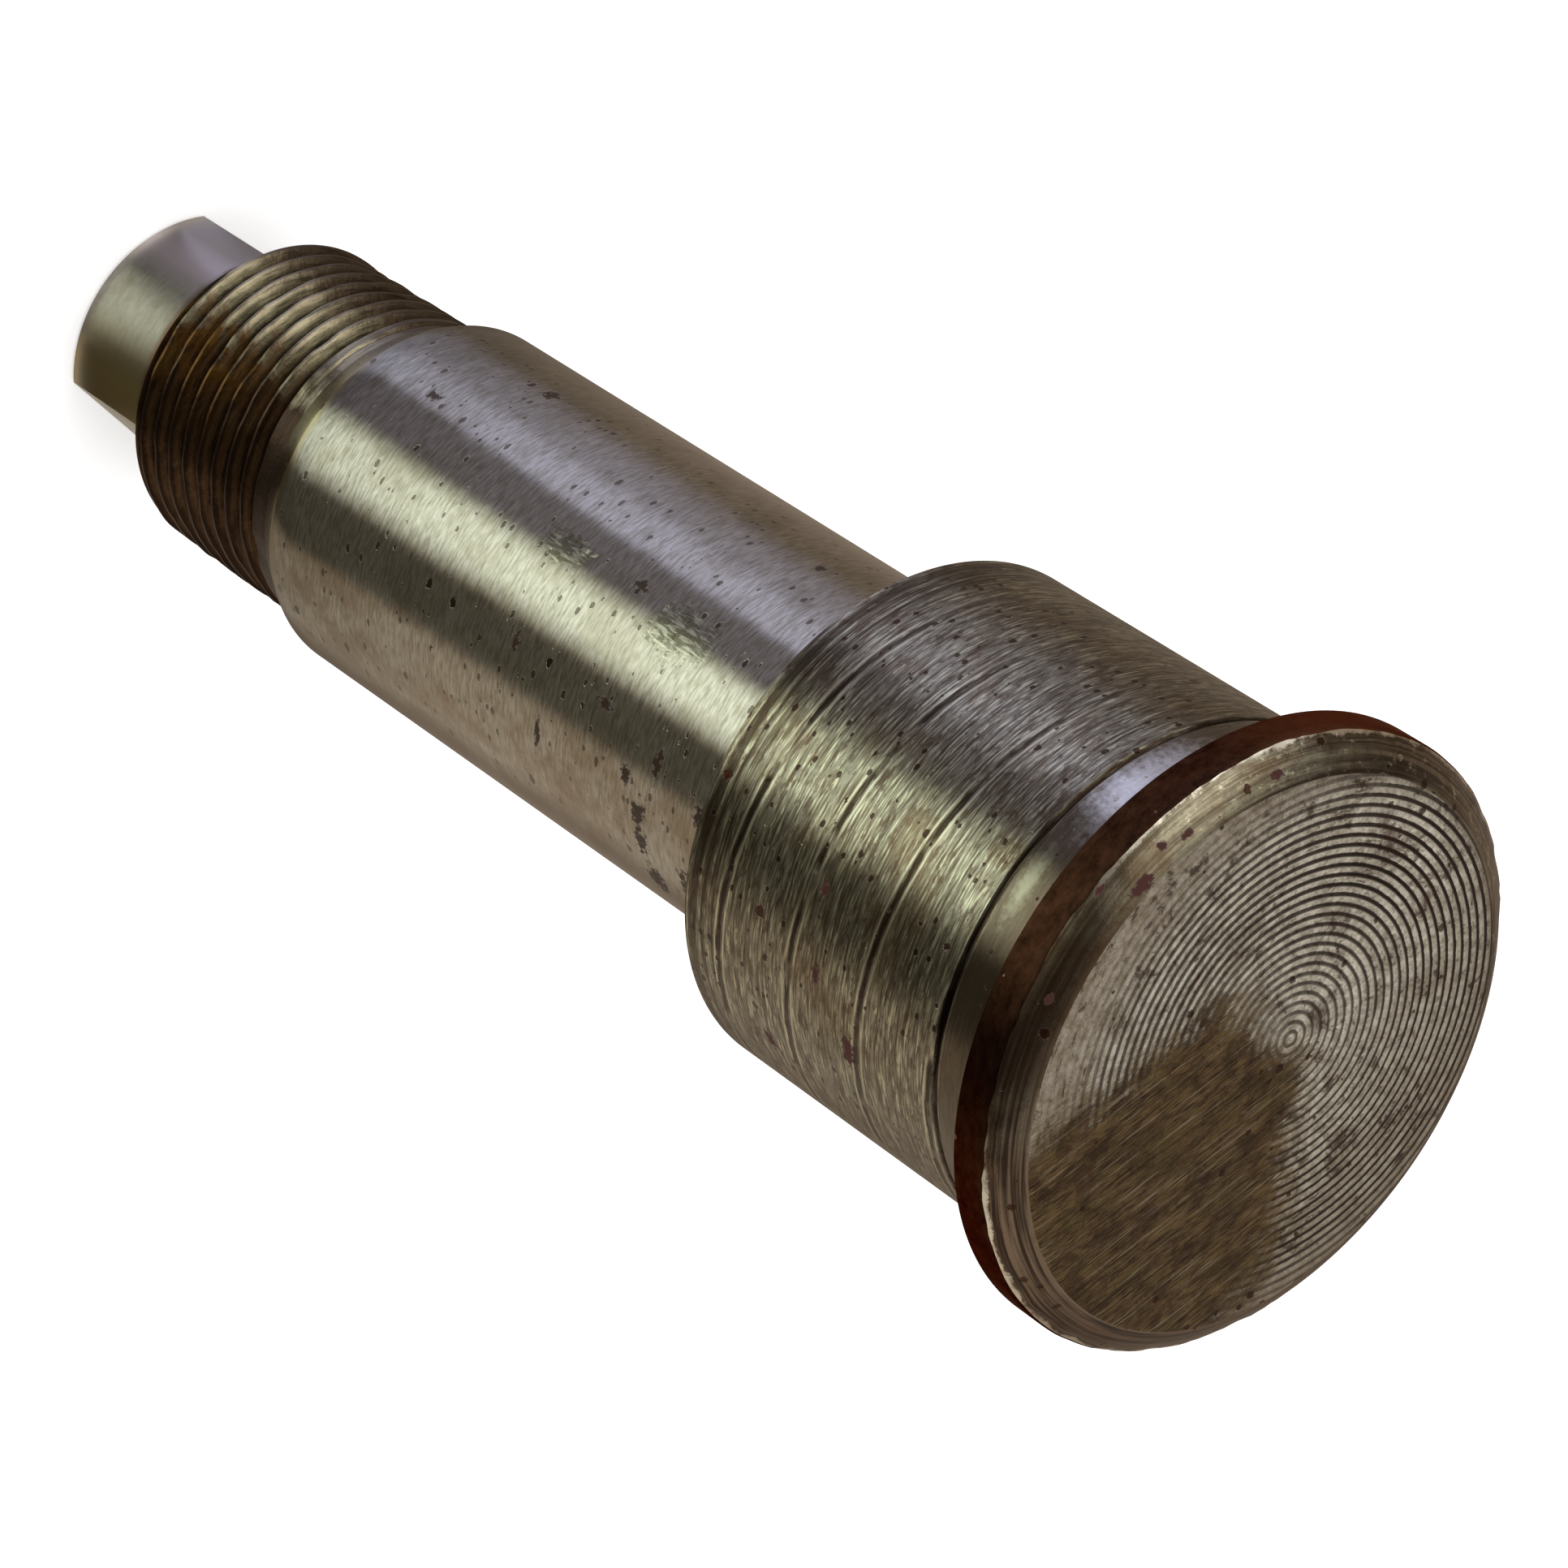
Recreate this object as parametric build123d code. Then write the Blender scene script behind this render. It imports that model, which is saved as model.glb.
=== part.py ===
from build123d import *
import math
import os

# A shoulder pin turned in one piece from round steel bar, standing on its dog point.
# The axis is +Z and the origin is the centre of the dog's end face. The dog's two flats face +X
# and -X. All sizes are in millimetres.

# Driving dimensions, from the dog's end up to the head
DOG_DIA = 17.0              # dog point, turned under the root of the thread
DOG_LEN = 7.8
DOG_CHAMFER = 0.3
FLATS_ACROSS = 12.8         # two flats milled on the dog, for a 13 mm spanner
THREAD_DIA = 20.0           # fine metric thread, right-handed
THREAD_PITCH = 1.5
THREAD_LEN = 15.5           # from the dog to the lead-in cone
THREAD_BEVEL = 45.0         # slope of its first end, which runs down to the dog
LEAD_LEN = 2.0              # lead-in cone between the thread and the shank
SHANK_DIA = 22.0            # ground bearing length
SHANK_LEN = 44.2
SHANK_FILLET = 0.4          # left by the tool's nose, at the foot of the shoulder
BODY_DIA = 30.0             # turned collar whose lower face is the shoulder
BODY_LEN = 25.2
BODY_EDGE = 0.3
RING_FROM_HEAD = 4.2        # witness groove round the collar, where two cuts meet
RING_WIDTH = 0.5
RING_DEPTH = 0.2
HEAD_DIA = 35.0             # bar left at its rolled size
RIM_LEN = 2.25
FACE_CHAMFER_LEN = 1.35
FACE_CHAMFER_RAD = 1.8

# Thread form: 60 degree flanks, a crest flat of an eighth of the pitch and the metric depth
FLANK_ANGLE = 30.0
THREAD_DEPTH = 0.6134 * THREAD_PITCH
CREST_FLAT = THREAD_PITCH / 8
CUTTER_OVERRUN = 0.05 * THREAD_PITCH    # how far the cutter stands out of the crest
RUNOUT_RISE = 0.4 * THREAD_PITCH        # axial travel while the tool is drawn out
RUNOUT_LAND = 0.2 * THREAD_PITCH        # left plain between the run-out and the lead-in cone

# Levels along the axis
thread_foot = DOG_LEN
lead_foot = thread_foot + THREAD_LEN
shank_foot = lead_foot + LEAD_LEN
shoulder = shank_foot + SHANK_LEN
head_back = shoulder + BODY_LEN
rim_top = head_back + RIM_LEN
face = rim_top + FACE_CHAMFER_LEN


def turned_blank():
    """The whole pin before threading: half of its outline, turned once about the axis."""
    dog, thread, shank = DOG_DIA / 2, THREAD_DIA / 2, SHANK_DIA / 2
    body, head = BODY_DIA / 2, HEAD_DIA / 2
    bevel_top = thread_foot + (thread - dog) * math.tan(math.radians(THREAD_BEVEL))
    groove_top = head_back - RING_FROM_HEAD
    with BuildPart() as blank:
        with BuildSketch(Plane.XZ):
            with BuildLine():
                Polyline(
                    (0, 0),
                    (dog, 0),
                    (dog, thread_foot),
                    (thread, bevel_top),
                    (thread, lead_foot),
                    (shank, shank_foot),
                    (shank, shoulder),
                    (body, shoulder),
                    (body, groove_top - RING_WIDTH),
                    (body - RING_DEPTH, groove_top - RING_WIDTH / 2),
                    (body, groove_top),
                    (body, head_back),
                    (head, head_back),
                    (head, rim_top),
                    (head - FACE_CHAMFER_RAD, face),
                    (0, face),
                    close=True,
                )
            make_face()
            corner = {(round(v.X, 4), round(v.Y, 4)): v for v in vertices()}
            chamfer(corner[round(dog, 4), 0.0], DOG_CHAMFER)
            chamfer(corner[round(body, 4), round(shoulder, 4)], BODY_EDGE)
            fillet(corner[round(shank, 4), round(shoulder, 4)], SHANK_FILLET)
        revolve(axis=Axis.Z)
    return blank.part


def thread_section(path):
    """The tool's flat-nosed V, set square to the start of its path and pointing at the axis."""
    slope = math.tan(math.radians(FLANK_ANGLE))
    half_mouth = (THREAD_PITCH - CREST_FLAT) / 2 + CUTTER_OVERRUN * slope
    half_nose = (THREAD_PITCH - CREST_FLAT) / 2 - THREAD_DEPTH * slope
    start = path @ 0
    outward = Vector(start.X, start.Y, 0)
    outline = Polyline(
        (-THREAD_DEPTH, -half_nose),
        (CUTTER_OVERRUN, -half_mouth),
        (CUTTER_OVERRUN, half_mouth),
        (-THREAD_DEPTH, half_nose),
        close=True,
    )
    return Plane(origin=start, x_dir=outward, z_dir=path % 0) * make_face(outline)


def thread_cutters():
    """What the tool takes away: a plain helix, then a widening one as the tool is drawn out."""
    foot = thread_foot - THREAD_PITCH
    rise = lead_foot - RUNOUT_LAND - RUNOUT_RISE - foot
    turns = rise / THREAD_PITCH
    main_path = Helix(THREAD_PITCH, rise, THREAD_DIA / 2, center=(0, 0, foot))
    cone = math.degrees(math.atan((THREAD_DEPTH + CUTTER_OVERRUN) / RUNOUT_RISE))
    slant_pitch = THREAD_PITCH / math.cos(math.radians(cone))
    exit_path = Helix(slant_pitch, RUNOUT_RISE, THREAD_DIA / 2, cone_angle=cone)
    exit_path = Pos(0, 0, foot + rise) * Rot(0, 0, 360 * turns) * exit_path
    paths = [main_path, exit_path.edges()[0]]
    return [sweep(thread_section(path), path=path, is_frenet=True) for path in paths]


def thread_chips(cutter):
    """What one cutter takes from a plain length of the thread's diameter, and from nothing else."""
    at_foot = (Align.CENTER, Align.CENTER, Align.MIN)
    plain_length = Cylinder(THREAD_DIA / 2, THREAD_LEN, align=at_foot)
    return Pos(0, 0, thread_foot) * plain_length & cutter


def flats_waste():
    """What the milling cutter takes off both sides of the dog, as far as the thread."""
    at_end = (Align.CENTER, Align.CENTER, Align.MIN)
    around_dog = Cylinder(DOG_DIA, DOG_LEN, align=at_end)
    return around_dog - Box(FLATS_ACROSS, 2 * DOG_DIA, DOG_LEN, align=at_end)


pin = turned_blank() - flats_waste()
for cutter in thread_cutters():
    pin -= thread_chips(cutter)

os.makedirs("parts", exist_ok=True)
export_step(pin, "parts/shoulder_pin.step")

print("length", round(face, 3), "mm, volume", round(pin.volume / 1000, 3), "cm3")
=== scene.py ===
# %% [markdown]
# A shoulder pin turned from one round steel bar. It stands on its dog point, which has two flats, and above
# that come a fine thread, a ground shank, a thicker collar and a flat head whose face was cut in rings.
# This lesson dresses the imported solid: one finely detailed mesh takes its place, and seven finishes show how
# each length of it was cut, ground or left alone. Everything is in metres, with sizes written in millimetres.

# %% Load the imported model
import math

import bpy
from mathutils import Matrix, Vector, noise


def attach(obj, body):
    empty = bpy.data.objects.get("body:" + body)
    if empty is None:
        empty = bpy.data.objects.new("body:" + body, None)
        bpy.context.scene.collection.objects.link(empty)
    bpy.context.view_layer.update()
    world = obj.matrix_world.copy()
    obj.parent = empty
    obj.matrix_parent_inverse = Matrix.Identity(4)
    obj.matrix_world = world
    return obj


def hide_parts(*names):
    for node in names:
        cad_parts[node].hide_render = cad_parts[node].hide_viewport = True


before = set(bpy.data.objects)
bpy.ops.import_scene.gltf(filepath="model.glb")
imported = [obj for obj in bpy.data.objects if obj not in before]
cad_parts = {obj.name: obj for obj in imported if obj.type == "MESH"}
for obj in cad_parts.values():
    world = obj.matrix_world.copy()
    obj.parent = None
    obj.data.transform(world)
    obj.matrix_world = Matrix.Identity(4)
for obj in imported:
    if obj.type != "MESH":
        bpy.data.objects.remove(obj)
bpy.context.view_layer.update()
MM = 0.001
print("solids:", sorted(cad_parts))

# %% [markdown]
# The pin's own sizes come first, because every later step is placed by them. They are those of the solid:
# radii from the axis, and levels up from the end of the dog point.

# %% Radii and levels of the pin
DOG_R, THREAD_R, SHANK_R, COLLAR_R, HEAD_R = 8.5, 10.0, 11.0, 15.0, 17.5
HALF_FLATS, THREAD_FOOT, CONE_FOOT, SHANK_FOOT = 6.4, 7.8, 23.3, 25.3
SHOULDER, RING_LOW, RING_TOP, HEAD_BACK = 69.5, 90.0, 90.5, 94.7
BEVEL_TOP, RIM_TOP, FACE, FACE_R = 9.34, 96.95, 98.3, 15.3
PITCH, THREAD_DEPTH, CREST_FLAT = 1.5, 0.92, 0.1875
FILLET, BROKEN_EDGE = 0.4, 0.3              # under the shoulder, and where the collar begins
VIEWER = 6.0                                # degrees from the front round to where the pin is seen from
print("length", FACE, "mm, head", 2 * HEAD_R, "mm across")

# %% [markdown]
# Three small helpers. The first selects one object alone, since an operator works on all that is selected. The
# second draws a chain of edges as by hand, one extrusion after another. The third turns it about an upright
# axis, as a lathe does, and closes the seam and the pole.

# %% Helpers for drawing and turning a profile
def alone(thing):
    """Makes one object the only selected and active one."""
    bpy.ops.object.select_all(action="DESELECT")
    thing.select_set(True)
    bpy.context.view_layer.objects.active = thing


def draw_chain(name, points):
    """An edge chain through points, given in millimetres as (x, y, z)."""
    bpy.ops.object.select_all(action="DESELECT")
    bpy.ops.mesh.primitive_plane_add(size=MM)
    thing = bpy.context.object
    thing.name = thing.data.name = name
    bpy.ops.object.mode_set(mode="EDIT")
    bpy.ops.mesh.select_mode(type="VERT")
    bpy.ops.mesh.merge(type="CENTER")
    bpy.ops.transform.translate(value=Vector(points[0]) * MM)
    here = Vector(points[0])
    for point in points[1:]:
        step = (Vector(point) - here) * MM
        bpy.ops.mesh.extrude_region_move(TRANSFORM_OT_translate={"value": step})
        here = Vector(point)
    bpy.ops.object.mode_set(mode="OBJECT")
    return thing


def turn(thing, steps, angle=360.0, centre=(0, 0)):
    """Spins a chain about an upright axis through centre, in millimetres."""
    alone(thing)
    bpy.ops.object.mode_set(mode="EDIT")
    bpy.ops.mesh.select_all(action="SELECT")
    bpy.ops.mesh.spin(
        steps=steps,
        angle=math.radians(angle),
        center=(centre[0] * MM, centre[1] * MM, 0),
        axis=(0, 0, 1),
    )
    bpy.ops.mesh.select_all(action="SELECT")
    bpy.ops.mesh.remove_doubles(threshold=1e-6)
    bpy.ops.object.mode_set(mode="OBJECT")


# %% [markdown]
# The blank is half of the pin's outline, turned once. Extra points stand where the light changes: the bevel
# between the dog and the thread, the small radius under the shoulder and the ring where two cuts meet.
# The face is left open here, because its rings have another centre.

# %% Turn the blank
STEPS = 240


def arc(centre_x, centre_z, radius, start, end, count):
    """Points of an arc in the profile plane, angles in degrees."""
    turns = [start + (end - start) * i / count for i in range(count + 1)]
    return [
        (centre_x + radius * math.cos(math.radians(a)), centre_z + radius * math.sin(math.radians(a)))
        for a in turns
    ]


def straight(radius, low, high, count):
    """Points up a cylinder, evenly apart, without the first."""
    return [(radius, low + (high - low) * i / count) for i in range(1, count + 1)]


dog = [(0, 0), (3.5, 0), (DOG_R - 0.34, 0), (DOG_R - 0.28, 0.02), (DOG_R - 0.02, 0.28), (DOG_R, 0.34)]
dog += [(DOG_R, 3.0), (DOG_R, 6.6), (DOG_R, THREAD_FOOT - 0.1), (DOG_R + 0.05, THREAD_FOOT + 0.02)]
thread = [(THREAD_R - 0.06, BEVEL_TOP - 0.12), (THREAD_R, BEVEL_TOP)]
thread += straight(THREAD_R, BEVEL_TOP, CONE_FOOT, 12)
cone = [(THREAD_R + 0.06, CONE_FOOT + 0.06), (SHANK_R - 0.08, SHANK_FOOT - 0.14), (SHANK_R, SHANK_FOOT + 0.04)]
shank = straight(SHANK_R, SHANK_FOOT + 0.04, SHOULDER - FILLET, 24)
fillet = arc(SHANK_R + FILLET, SHOULDER - FILLET, FILLET, 180, 90, 4)[1:]
shoulder = [(13.0, SHOULDER), (COLLAR_R - BROKEN_EDGE, SHOULDER), (COLLAR_R, SHOULDER + BROKEN_EDGE)]
collar = straight(COLLAR_R, SHOULDER + BROKEN_EDGE, RING_LOW, 12)
ring = [(COLLAR_R - 0.2, RING_LOW + 0.18), (COLLAR_R - 0.2, RING_TOP - 0.18), (COLLAR_R, RING_TOP)]
band = [(COLLAR_R, 92.6), (COLLAR_R, HEAD_BACK - 0.15), (COLLAR_R + 0.15, HEAD_BACK)]
rim = [(16.3, HEAD_BACK), (HEAD_R - 0.12, HEAD_BACK), (HEAD_R, HEAD_BACK + 0.12)]
rim += [(HEAD_R, 95.5), (HEAD_R, 96.2), (HEAD_R, RIM_TOP - 0.13)]
chamfer = [(HEAD_R - 0.1, 97.02), (16.7, 97.55), (16.15, 97.94), (15.85, 98.12), (15.6, 98.22), (FACE_R, 98.27)]
outline = dog + thread + cone + shank + fillet + shoulder + collar + ring + band + rim + chamfer
pin = draw_chain("turned_pin", [(x, 0, z) for x, z in outline])
turn(pin, STEPS)
print("blank:", len(pin.data.polygons), "faces from", len(outline), "points")

# %% [markdown]
# A lathe cuts a thread with one pointed tool that travels a pitch at each turn. The cutter is that tool's
# flat-nosed V, drawn once and carried up a helix by the Screw modifier. At the end of the thread the tool
# is drawn out, so the last part of a turn is moved outwards ring by ring.

# %% Cut the thread
SLOPE = math.tan(math.radians(30))
HALF_NOSE = (PITCH - CREST_FLAT) / 2 - THREAD_DEPTH * SLOPE
OVERCUT = 0.08                              # how far the tool's mouth stands out of the bar
HALF_MOUTH = (PITCH - CREST_FLAT) / 2 + OVERCUT * SLOPE
CUT_STEPS, CUT_TURNS = 144, 11
END_LEVEL, END_ANGLE = 22.6, math.radians(286)
start_level = END_LEVEL - CUT_TURNS * PITCH
nose_r, mouth_r = THREAD_R - THREAD_DEPTH, THREAD_R + OVERCUT
across, along = math.cos(END_ANGLE), math.sin(END_ANGLE)
vee = [(nose_r, -HALF_NOSE), (mouth_r, -HALF_MOUTH), (mouth_r, HALF_MOUTH), (nose_r, HALF_NOSE)]
vee = [(r * across, r * along, start_level + rise) for r, rise in vee]
cutter = draw_chain("thread_cutter", vee + vee[:1])
alone(cutter)
bpy.ops.object.mode_set(mode="EDIT")
bpy.ops.mesh.select_all(action="SELECT")
bpy.ops.mesh.remove_doubles(threshold=1e-6)
bpy.ops.object.mode_set(mode="OBJECT")
helix = cutter.modifiers.new("helix", "SCREW")
helix.steps = helix.render_steps = CUT_STEPS
helix.iterations = CUT_TURNS
helix.screw_offset = PITCH * MM
bpy.ops.object.modifier_apply(modifier="helix")

drawn_out = int(0.4 * CUT_STEPS)            # the last steps, over which the tool leaves the bar
points = cutter.data.vertices
for i in range(drawn_out + 1):
    section = points[len(points) - 4 * (drawn_out + 1 - i) :][:4]
    for point in section:
        outwards = Vector((point.co.x, point.co.y, 0)).normalized()
        point.co += outwards * (THREAD_DEPTH + OVERCUT) * MM * i / drawn_out
bpy.ops.object.mode_set(mode="EDIT")
bpy.ops.mesh.select_mode(type="EDGE")
bpy.ops.mesh.select_all(action="DESELECT")
bpy.ops.mesh.select_non_manifold()
bpy.ops.mesh.fill()
bpy.ops.mesh.select_all(action="SELECT")
bpy.ops.mesh.normals_make_consistent(inside=False)
bpy.ops.object.mode_set(mode="OBJECT")

alone(pin)
cut = pin.modifiers.new("cut_thread", "BOOLEAN")
cut.operation, cut.solver, cut.object = "DIFFERENCE", "EXACT", cutter
bpy.ops.object.modifier_apply(modifier="cut_thread")
bpy.data.objects.remove(cutter)
print("threaded blank:", len(pin.data.polygons), "faces")

# %% [markdown]
# Two flats are milled on the dog for a spanner. A block stands against each side, and is then subtracted.

# %% Mill the flats
for side in (-1, 1):
    bpy.ops.object.select_all(action="DESELECT")
    bpy.ops.mesh.primitive_cube_add(size=2 * DOG_R * MM)
    block = bpy.context.object
    bpy.ops.transform.resize(value=(1, 2, 1))
    bpy.ops.transform.translate(value=Vector((side * (HALF_FLATS + DOG_R), 0, THREAD_FOOT - DOG_R)) * MM)
    alone(pin)
    cut = pin.modifiers.new("mill_flat", "BOOLEAN")
    cut.operation, cut.solver, cut.object = "DIFFERENCE", "EXACT", block
    bpy.ops.object.modifier_apply(modifier="mill_flat")
    bpy.data.objects.remove(block)
print("with its flats:", len(pin.data.polygons), "faces")

# %% [markdown]
# The face was cut in rings about a centre that is not quite the pin's own. They are real grooves here, turned
# about that centre, and a flat band joins their last circle to the edge of the face.

# %% Turn the face and close it
RING_CENTRE = (-1.5, 0.6)
RINGS, RING_FIELD, RING_DEPTH = 25, 13.6, 0.05  # how many, how far out they reach and how deep they are
ring_pitch = RING_FIELD / RINGS
RIDGE = [(0.10, 0.55), (0.30, 0.08), (0.55, 0.0), (0.72, 0.35), (0.86, 1.0)]  # shares of a pitch and of the depth
face_line = [(0.0, FACE)]
for i in range(RINGS):
    depth = RING_DEPTH * min(1.0, 0.25 + 0.12 * (RINGS - i))  # the outermost rings run out
    for share, drop in RIDGE:
        face_line.append(((i + share) * ring_pitch, FACE - drop * depth))
face_line.append((RING_FIELD + 0.06, FACE - 0.02))
cx, cy = RING_CENTRE
face = draw_chain("face_rings", [(cx + x, cy, z) for x, z in face_line])
turn(face, STEPS, centre=RING_CENTRE)

bpy.ops.object.select_all(action="DESELECT")
face.select_set(True)
pin.select_set(True)
bpy.context.view_layer.objects.active = pin
bpy.ops.object.join()
bpy.ops.object.mode_set(mode="EDIT")
bpy.ops.mesh.select_mode(type="EDGE")
bpy.ops.mesh.select_all(action="DESELECT")
bpy.ops.mesh.select_non_manifold()
bpy.ops.mesh.bridge_edge_loops()
bpy.ops.mesh.select_all(action="SELECT")
bpy.ops.mesh.normals_make_consistent(inside=False)
bpy.ops.object.mode_set(mode="OBJECT")
bpy.ops.object.shade_smooth_by_angle(angle=math.radians(28))
print("closed pin:", len(pin.data.polygons), "faces")

# %% [markdown]
# Years of use show in the shape as well. The crests of the thread are worn unevenly, the chamfer's tool has
# pushed a ragged burr over the rim, and the rings are rubbed away in a wedge to the right of the centre.

# %% Wear the thread and the rings, and rag the burr
WEDGE = [(0.55, 1.0, 6.4), (0.9, -1.0, 3.0), (0.0, -1.0, 9.8), (1.0, 0.0, 1.3)]  # inside, a * x + b * y + c > 0

for vertex in pin.data.vertices:
    where = vertex.co / MM
    radius = math.hypot(where.x, where.y)
    if radius > THREAD_R - 0.15 and BEVEL_TOP + 0.26 < where.z < CONE_FOOT - 0.4:
        worn = 0.06 + 0.22 * max(0.0, noise.noise(where * 0.45))
        vertex.co.xy *= (radius - worn) / radius
    if radius > HEAD_R - 0.2 and RIM_TOP - 0.2 < where.z < RIM_TOP + 0.1:
        burr = 0.10 + 0.16 * noise.noise(where * 0.8) + 0.08 * noise.noise(where * 2.3)
        vertex.co.z -= burr * MM
    if where.z > FACE - 0.1 and radius < FACE_R - 0.1:
        facing = Matrix.Rotation(-math.radians(VIEWER), 4, "Z") @ where
        inside = min(a * facing.x + b * facing.y + c for a, b, c in WEDGE)
        rubbed = min(1.0, max(0.0, 0.4 * (inside + 1.5 * noise.noise(where * 0.7))))
        vertex.co.z += (FACE - 0.03 - where.z) * rubbed * MM
print("crests worn and rings rubbed down to", FACE - 0.03, "mm")

# %% [markdown]
# The finish differs along the pin, so its faces are shared out among seven material slots by where they lie:
# the rolled rim, the ringed face, the turned chamfer and collar, the ground shank, the thread and the dog.

# %% Share out the faces
ZONES = ["rolled_scale", "faced_steel", "lathe_steel", "ground_steel"]
ZONES += ["oiled_steel", "milled_steel", "bevelled_steel"]


def zone_of(radius, level):
    """The finish of a face from its middle, in millimetres."""
    if level > FACE - 0.12 and radius < FACE_R + 0.3:
        return "faced_steel"
    if level > RIM_TOP + 0.03:
        return "bevelled_steel"
    if level > HEAD_BACK - 0.05:
        return "rolled_scale"
    if level > SHOULDER - 0.05:
        return "lathe_steel"
    if level > CONE_FOOT - 0.05:
        return "ground_steel"
    return "oiled_steel" if level > THREAD_FOOT + 0.03 and radius > 6 else "milled_steel"


for zone in ZONES:
    pin.data.materials.append(bpy.data.materials.new(zone))
counts = dict.fromkeys(ZONES, 0)
for polygon in pin.data.polygons:
    middle = polygon.center / MM
    zone = zone_of(math.hypot(middle.x, middle.y), middle.z)
    polygon.material_index = ZONES.index(zone)
    counts[zone] += 1
print("faces in each finish:", counts)

# %% [markdown]
# Every finish is built from nodes. One function turns a written sRGB colour into the linear numbers that
# Blender mixes, one adds a node with its settings and links, and one opens a finish's material with a place
# in millimetres, so that each pattern can be given its real size.

# %% Helpers for colours and nodes
def linear(code):
    """A colour written as #RRGGBB, in linear light."""
    parts = [int(code[i : i + 2], 16) / 255 for i in (1, 3, 5)]
    return tuple(p / 12.92 if p < 0.04045 else ((p + 0.055) / 1.055) ** 2.4 for p in parts) + (1,)


def add(tree, kind, inputs=(), **settings):
    """Adds a node. inputs pairs a socket's name or number with a value or with another node's output."""
    node = tree.nodes.new("ShaderNode" + kind)
    for name, value in settings.items():
        setattr(node, name, value)
    for name, value in dict(inputs).items():
        if isinstance(value, bpy.types.NodeSocket):
            tree.links.new(value, node.inputs[name])
        else:
            node.inputs[name].default_value = value
    return node


def start(name):
    """Opens a zone's material and gives its tree, its surface and a position in millimetres."""
    material = bpy.data.materials[name]
    material.use_nodes = True
    tree = material.node_tree
    place = add(tree, "TexCoord").outputs["Object"]
    place = add(tree, "Mapping", {"Vector": place, "Scale": (1 / MM, 1 / MM, 1 / MM)}).outputs[0]
    return tree, tree.nodes["Principled BSDF"], place


# %% [markdown]
# Dirt, wear and rust lie over one another, each where its own mask lets it. So the next helpers make a grain
# of a given size, multiply masks, lay one colour over another and add up what shifts a value.

# %% Helpers for grain, masks and layers
def grain(tree, place, size, detail=3, roughness=0.55, warp=0.0):
    """A cloudy pattern whose features are size millimetres long along X, Y and Z."""
    stretched = add(tree, "Mapping", {"Vector": place, "Scale": [1 / s for s in size]}).outputs[0]
    settings = {"Vector": stretched, "Scale": 1.0, "Detail": detail, "Roughness": roughness, "Distortion": warp}
    return add(tree, "TexNoise", settings).outputs["Fac"]


def product(tree, *parts):
    """Multiplies its parts. Each is a number, a pattern, or a pattern with the two values at which a mask of
    it is 0 and 1."""
    total = None
    for part in parts:
        if isinstance(part, tuple):
            pattern, low, high = part
            part = add(tree, "MapRange", {"Value": pattern, "From Min": low, "From Max": high}).outputs[0]
        if total is not None:
            part = add(tree, "Math", {0: total, 1: part}, operation="MULTIPLY").outputs[0]
        total = part
    return total


def summed(tree, total, *terms):
    """Adds patterns to a number or a pattern, each times its own number."""
    for pattern, times in terms:
        total = add(tree, "Math", {0: pattern, 1: times, 2: total}, operation="MULTIPLY_ADD").outputs[0]
    return total


def lay(tree, under, over, *masks):
    """Lays a colour over another where the product of the masks lets it. Each is written or comes from a socket."""
    node = add(tree, "Mix", {"Factor": product(tree, *masks)}, data_type="RGBA")
    for slot, colour in ((6, under), (7, over)):
        if isinstance(colour, str):
            node.inputs[slot].default_value = linear(colour)
        else:
            tree.links.new(colour, node.inputs[slot])
    return node.outputs[2]


# %% [markdown]
# The pin's two sides differ, and single marks stand at known places. So a place is also told as an angle
# round the pin and a level. Flecks are scattered one to a cell, and spots are placed one by one.

# %% Helpers for places round the pin
def round_about(tree, place, folded=False):
    """The angle round the pin (degrees from the viewer's side, towards the right) and the level. Folded, the
    angle is led back to 0 behind the pin, so that no mask made from it ends in a seam there."""
    split = add(tree, "SeparateXYZ", {"Vector": place}).outputs
    away = product(tree, split[1], -1.0)
    angle = add(tree, "Math", {0: split[0], 1: away}, operation="ARCTAN2").outputs[0]
    angle = summed(tree, -VIEWER, (angle, math.degrees(1)))
    if folded:
        size = add(tree, "Math", {0: angle}, operation="ABSOLUTE").outputs[0]
        behind = summed(tree, 360.0, (size, -2.0))
        size = add(tree, "Math", {0: size, 1: behind}, operation="MINIMUM").outputs[0]
        side = add(tree, "Math", {0: angle}, operation="SIGN").outputs[0]
        angle = product(tree, size, side)
    return angle, split[2]


def specks(tree, place, pitch, kept, size, squash=1.0):
    """Flecks about size mm long, one to a cell of pitch mm in the kept share of the cells. squash shortens them."""
    ragged = grain(tree, place, (size * 0.6, size * 0.6, size * 0.6), 2, 0.6)
    spaced = add(tree, "Mapping", {"Vector": place, "Scale": (1 / pitch, 1 / pitch, squash / pitch)}).outputs[0]
    cell = add(tree, "TexVoronoi", {"Vector": spaced, "Scale": 1.0})
    tint = add(tree, "SeparateColor", {"Color": cell.outputs["Color"]}).outputs
    size /= pitch
    gap = summed(tree, cell.outputs["Distance"], (ragged, size))
    inside = summed(tree, 0.7 * size, (tint[0], 0.8 * size), (gap, -1.0))
    return product(tree, (inside, 0.0, 0.15 * size), (tint[1], kept, kept - 0.02))


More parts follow.
